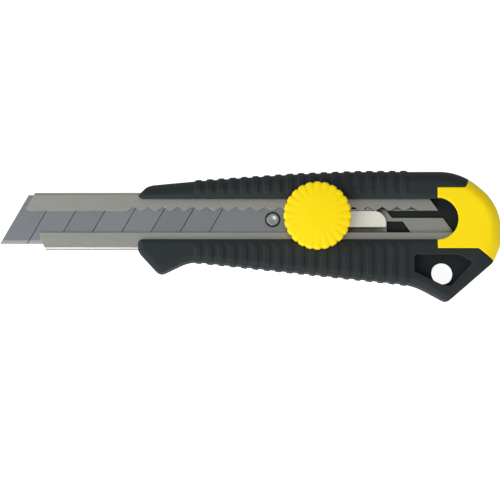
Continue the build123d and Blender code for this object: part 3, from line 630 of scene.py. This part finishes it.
def wheel_nodes():
    """A geometry tree that cuts notches into the rim and flutes into the face of a turned wheel."""
    number = "NodeSocketFloat"
    tree, given, result = new_group(
        "wheel_lobes",
        "GeometryNodeTree",
        [
            ("Geometry", "NodeSocketGeometry", None),
            ("Centre", "NodeSocketVector", None),
            ("Radius", number, None),
            ("Top", number, None),
            ("Lobes", "NodeSocketInt", None),
            ("Notch Depth", number, None),
            ("Flute Depth", number, None),
            ("Flute Start", number, None),
            ("Material", "NodeSocketMaterial", None),
        ],
        [("Geometry", "NodeSocketGeometry")],
    )
    g = given.outputs
    at = put(tree, "GeometryNodeInputPosition").outputs[0]
    z = put(tree, "ShaderNodeSeparateXYZ", sockets={0: at}).outputs[2]
    r, turns, x, y = polar(tree, at, g["Centre"])
    away = from_line(tree, turns, g["Lobes"])
    notch = ramp(tree, away, *NOTCH_FADE, 1.0, 0.0)
    flute = ramp(tree, away, *FLUTE_FADE, 1.0, 0.0)
    rim = ramp(tree, r, *(sum_of(tree, "MULTIPLY", g["Radius"], part) for part in NOTCH_RIM))
    out = ramp(tree, r, g["Flute Start"], g["Radius"])
    face = ramp(tree, z, *(sum_of(tree, "SUBTRACT", g["Top"], depth) for depth in FACE_BAND))
    inward = sum_of(tree, "MULTIPLY", sum_of(tree, "MULTIPLY", notch, rim), g["Notch Depth"])
    pull = sum_of(tree, "DIVIDE", inward, sum_of(tree, "MAXIMUM", r, 1 * MM))
    sunk = sum_of(tree, "MULTIPLY", flute, sum_of(tree, "MULTIPLY", out, face))
    down = sum_of(tree, "MULTIPLY", sunk, g["Flute Depth"])
    shift = put(
        tree,
        "ShaderNodeCombineXYZ",
        sockets={
            0: sum_of(tree, "MULTIPLY", sum_of(tree, "MULTIPLY", x, pull), -1.0),
            1: sum_of(tree, "MULTIPLY", sum_of(tree, "MULTIPLY", y, pull), -1.0),
            2: sum_of(tree, "MULTIPLY", down, -1.0),
        },
    ).outputs[0]
    cut = put(tree, "GeometryNodeSetPosition", sockets={"Geometry": g["Geometry"], "Offset": shift})
    real = put(tree, "GeometryNodeRealizeInstances", sockets={0: cut.outputs[0]})
    done = put(
        tree,
        "GeometryNodeSetMaterial",
        sockets={"Geometry": real.outputs[0], "Material": g["Material"]},
    )
    tree.links.new(done.outputs[0], result.inputs[0])
    return tree


# ---------------------------------------------------------------- operators


class KNIFE_OT_mouldings(bpy.types.Operator):
    """Shape and finish the handle's core, its soft grips, the pad and the end cap"""

    bl_idname = "knife.mouldings"
    bl_label = "Handle, grips and cap"

    def execute(self, context):
        look = context.scene.knife_mouldings
        rubber = finish(
            "grip_rubber",
            look.grip_colour,
            0.60,
            tone=0.16,
            fine=2600.0,
            bump=0.03 * MM,
            edge=0.2 * MM,
            edge_tone=1.6,
            specular=0.22,
        )
        core = finish(
            "core_plastic", look.core_colour, 0.52, fine=3200.0, edge_tone=1.7, specular=0.2
        )
        yellow = finish(
            "cap_plastic",
            look.cap_colour,
            0.40,
            spread=0.05,
            tone=0.03,
            bump=0.006 * MM,
            edge_tone=1.03,
            specular=0.22,
        )
        for node in ("upper_grip", "lower_grip", "back_pad"):
            piece = moulded(node, f"{node}_moulded", look.grip_cell, look.softening, look.kept_share)
            stand_for(piece, node, rubber)
        cap = moulded("end_cap", "end_cap_moulded", look.cap_cell, look.softening, look.kept_share)
        stand_for(cap, "end_cap", yellow)
        dress("handle_core", core)
        return {"FINISHED"}


class KNIFE_OT_wheel(bpy.types.Operator):
    """Turn, notch and flute the thumb wheel, and finish its brass insert"""

    bl_idname = "knife.wheel"
    bl_label = "Thumb wheel"

    def execute(self, context):
        look = context.scene.knife_wheel
        low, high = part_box("lock_wheel")
        centre = (low + high) / 2
        radius = (high.x - low.x) / 2
        material = finish(
            "wheel_plastic",
            look.wheel_colour,
            0.42,
            spread=0.05,
            tone=0.03,
            bump=0.006 * MM,
            edge_tone=1.03,
            specular=0.22,
            # painted shade along the flutes
            tint=flute_painted_shade(look, centre, radius),
        )
        points = wheel_profile(look, low.z, high.z, radius)
        mesh = turned_mesh("lock_wheel_turned", points, centre, look.lobes * STEPS_PER_LOBE)
        piece = new_object("lock_wheel_turned", mesh)
        tree = wheel_nodes()
        lobes = piece.modifiers.new("lobes", "NODES")
        lobes.node_group = tree
        values = {
            "Centre": centre,
            "Radius": radius,
            "Top": high.z,
            "Lobes": look.lobes,
            "Notch Depth": look.notch_depth,
            "Flute Depth": look.flute_depth,
            "Flute Start": look.flute_start,
            "Material": material,
        }
        for item in tree.interface.items_tree:
            if item.item_type == "SOCKET" and item.in_out == "INPUT" and item.name in values:
                lobes[item.identifier] = values[item.name]
        applied(piece)
        for polygon in piece.data.polygons:
            polygon.use_smooth = True
        stand_for(piece, "lock_wheel", material)
        brass = finish("turned_brass", (0.66, 0.46, 0.18), 0.3, metallic=1.0, edge=0.1 * MM)
        dress("wheel_insert", brass)
        return {"FINISHED"}


class KNIFE_OT_steel(bpy.types.Operator):
    """Finish the channel, blade, carrier, pin, stud, spring and clamp"""

    bl_idname = "knife.steel"
    bl_label = "Steel pieces"

    def execute(self, context):
        look = context.scene.knife_steel
        along = (0.04, 1, 1)
        across = (1, 0.05, 1)
        dress(
            "blade_channel",
            finish(
                "channel_steel",
                look.channel_colour,
                0.34,
                metallic=1.0,
                tone=0.05,
                stretch=along,
                bump=0.003 * MM,
                edge=0.20 * MM,
                # edge tone below 1: painted shade along the channel's sharp edges
                edge_tone=0.42,
                # painted shade in the channel's crevices
                tint=crevice_painted_shade(look, "blade_channel"),
            ),
        )
        dress(
            "snap_blade",
            finish(
                "blade_steel",
                look.blade_colour,
                0.38,
                metallic=1.0,
                tone=0.05,
                stretch=across,
                bump=0.003 * MM,
                edge=0.06 * MM,
                edge_tone=1.1,
                tint=segment_tone_and_score_shade(look, "snap_blade"),
            ),
        )
        dress(
            "blade_carrier",
            finish(
                "carrier_steel",
                # near-white with little metal: partly the plating's colour, partly a painted bright
                # reflection
                look.carrier_colour_and_sheen,
                0.34,
                metallic=0.18,
                tone=0.03,
                stretch=along,
                bump=0.002 * MM,
                edge=0.22 * MM,
                # edge tone below 1: painted shade along the carrier's edges
                edge_tone=0.25,
                # painted shade in the gap round the pin
                tint=pin_gap_painted_shade(look, sum(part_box("blade_pin"), Vector()) / 2),
            ),
        )
        for name, tone, roughness, bump, edge, edge_tone, nodes in SMALL_STEEL:
            steel = finish(
                name,
                tone,
                roughness,
                metallic=1.0,
                bump=bump * MM,
                edge=edge * MM,
                edge_tone=edge_tone,
            )
            for node in nodes:
                dress(node, steel)
        return {"FINISHED"}


class KNIFE_OT_stage(bpy.types.Operator):
    """Add the floor, the soft studio light and the camera"""

    bl_idname = "knife.stage"
    bl_label = "Stage"

    def execute(self, context):
        look = context.scene.knife_stage
        self.add_floor(look)
        self.add_sky()
        self.add_lights()
        self.add_camera(look)
        context.scene.view_settings.view_transform = "Standard"
        return {"FINISHED"}

    def add_floor(self, look):
        """A wide pale floor under the knife, whose glow doesn't light the knife from below."""
        signs = [(-1, -1), (1, -1), (1, 1), (-1, 1)]
        mesh = bpy.data.meshes.new("floor")
        corners = [(x * FLOOR_HALF, y * FLOOR_HALF, -FLOOR_DROP) for x, y in signs]
        mesh.from_pydata(corners, [], [(0, 1, 2, 3)])
        floor = new_object("floor", mesh)
        paper = bpy.data.materials.new("paper")
        paper.use_nodes = True
        tree = paper.node_tree
        surface = tree.nodes["Principled BSDF"]
        surface.inputs["Base Color"].default_value = (*look.floor_colour, 1)
        surface.inputs["Roughness"].default_value = 0.9
        surface.inputs["Specular IOR Level"].default_value = 0.0
        surface.inputs["Emission Color"].default_value = (1, 1, 1, 1)
        seen = put(tree, "ShaderNodeLightPath").outputs["Is Camera Ray"]
        glow = sum_of(tree, "MULTIPLY", seen, look.floor_glow)
        tree.links.new(glow, surface.inputs["Emission Strength"])
        mesh.materials.append(paper)

    def add_sky(self):
        """Soft light, dimmer straight above and on the far side than low on the bright side."""
        world = bpy.data.worlds.new("studio")
        bpy.context.scene.world = world
        world.use_nodes = True
        tree = world.node_tree
        place = put(tree, "ShaderNodeTexCoord").outputs["Generated"]
        height = put(tree, "ShaderNodeSeparateXYZ", sockets={0: place}).outputs[2]
        level = ramp(tree, height, *SKY_HEIGHTS, 1.0, SKY_TOP, "LINEAR")
        side = put(
            tree,
            "ShaderNodeVectorMath",
            operation="DOT_PRODUCT",
            sockets={0: place, 1: BRIGHT_SIDE},
        )
        bright = ramp(tree, side.outputs["Value"], *SKY_SIDES, *SKY_SHARES, "LINEAR")
        sky = tree.nodes["Background"]
        sky.inputs["Color"].default_value = (1, 1, 1, 1)
        tree.links.new(sum_of(tree, "MULTIPLY", level, bright), sky.inputs["Strength"])

    def add_lights(self):
        """A broad key light from the cutting edge's side and a low one from the front."""
        for name, place, size, power in LIGHTS:
            lamp = bpy.data.lights.new(name, "AREA")
            lamp.size = size
            lamp.energy = power
            light = bpy.data.objects.new(name, lamp)
            light.location = place
            light.rotation_euler = (-Vector(place)).to_track_quat("-Z", "Y").to_euler()
            bpy.context.scene.collection.objects.link(light)

    def add_camera(self, look):
        """A long lens almost straight above the knife."""
        camera = bpy.data.objects.new("camera", bpy.data.cameras.new("camera"))
        bpy.context.scene.collection.objects.link(camera)
        camera.data.lens = look.lens
        distance = look.view_width * look.lens / camera.data.sensor_width
        back = Vector((0, -math.sin(look.lean), math.cos(look.lean)))
        camera.location = CAMERA_TARGET + back * distance
        camera.rotation_euler = (look.lean, 0, 0)
        camera.data.clip_start = 0.01
        bpy.context.scene.camera = camera


# ---------------------------------------------------------------- panel and registration


class KNIFE_PT_panel(bpy.types.Panel):
    """Shows each step's button with its settings."""

    bl_label = "Knife"
    bl_idname = "KNIFE_PT_panel"
    bl_space_type = "VIEW_3D"
    bl_region_type = "UI"
    bl_category = "Knife"

    def draw(self, context):
        for operator, holder in STEPS:
            box = self.layout.box()
            box.operator(operator)
            settings = getattr(context.scene, holder)
            for name in settings.__annotations__:
                box.prop(settings, name)


HOLDERS = {
    "knife_mouldings": KnifeMouldings,
    "knife_wheel": KnifeWheel,
    "knife_steel": KnifeSteel,
    "knife_stage": KnifeStage,
}
STEPS = [
    ("knife.mouldings", "knife_mouldings"),
    ("knife.wheel", "knife_wheel"),
    ("knife.steel", "knife_steel"),
    ("knife.stage", "knife_stage"),
]
CLASSES = [
    *HOLDERS.values(),
    KNIFE_OT_mouldings,
    KNIFE_OT_wheel,
    KNIFE_OT_steel,
    KNIFE_OT_stage,
    KNIFE_PT_panel,
]


def register():
    for item in CLASSES:
        bpy.utils.register_class(item)
    for name, group in HOLDERS.items():
        setattr(bpy.types.Scene, name, PointerProperty(type=group))


def unregister():
    for name in HOLDERS:
        delattr(bpy.types.Scene, name)
    for item in reversed(CLASSES):
        bpy.utils.unregister_class(item)


def main():
    register()
    bpy.ops.knife.mouldings()
    bpy.ops.knife.wheel()
    bpy.ops.knife.steel()
    bpy.ops.knife.stage()


if __name__ == "__main__":
    main()
